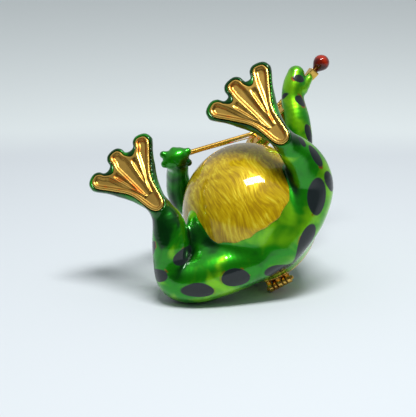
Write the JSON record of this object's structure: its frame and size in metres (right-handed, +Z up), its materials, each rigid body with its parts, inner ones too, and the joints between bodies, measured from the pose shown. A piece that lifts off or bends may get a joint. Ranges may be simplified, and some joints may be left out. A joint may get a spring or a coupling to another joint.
{
  "type": "frog trinket box",
  "caption": "Small cast metal trinket box shaped as a fiddling frog, lying on its back, enamelled green and yellow with gilt soles, hinged at the rump to open.",
  "frame": {"origin": "middle of the underside of the object as it lies on its back, on the surface it rests on", "axes": "+Z up from the surface, -Y towards the gilt soles and the belly, +X towards the frog's left foot"},
  "size_m": [0.073, 0.0604, 0.0675],
  "materials": {
    "green_enamel": "translucent green enamel over cast metal, high gloss, dark slate spots",
    "belly_enamel": "translucent yellow enamel over a brushed, engine-turned ground, high gloss",
    "gilt": "gold plated casting, lightly tarnished in the hollows",
    "magnet": "nickel plated disc",
    "eye_glass": "black polished cabochon",
    "red_glass": "translucent red enamel bead"
  },
  "bodies": {
    "lid": {"lid_shell": "green_enamel", "lid_rim": "gilt", "lid_magnet": "magnet", "hinge_lid_leaf": "gilt", "hinge_pin": "gilt", "head": "green_enamel", "right_eye": "eye_glass", "right_eye_setting": "gilt", "left_eye": "eye_glass", "left_eye_setting": "gilt", "right_arm": "green_enamel", "left_arm": "green_enamel", "bow_stick": "gilt", "bow_hair": "gilt", "fiddle_body": "gilt", "fiddle_neck": "gilt", "scroll_bead": "red_glass"},
    "base": {"base_shell": "green_enamel", "belly_enamel": "belly_enamel", "base_rim": "gilt", "base_magnet": "magnet", "right_leg": "green_enamel", "left_leg": "green_enamel", "right_sole": "gilt", "left_sole": "gilt", "hinge_base_leaf": "gilt"}
  },
  "joints": [
    {"name": "lid_hinge", "type": "hinge", "parent": "lid", "child": "base", "pos_m": [0.01975, -0.01592, 0.0028], "axis": [0.8803, 0.0285, 0.4736], "range_deg": [0, 95]}
  ]
}
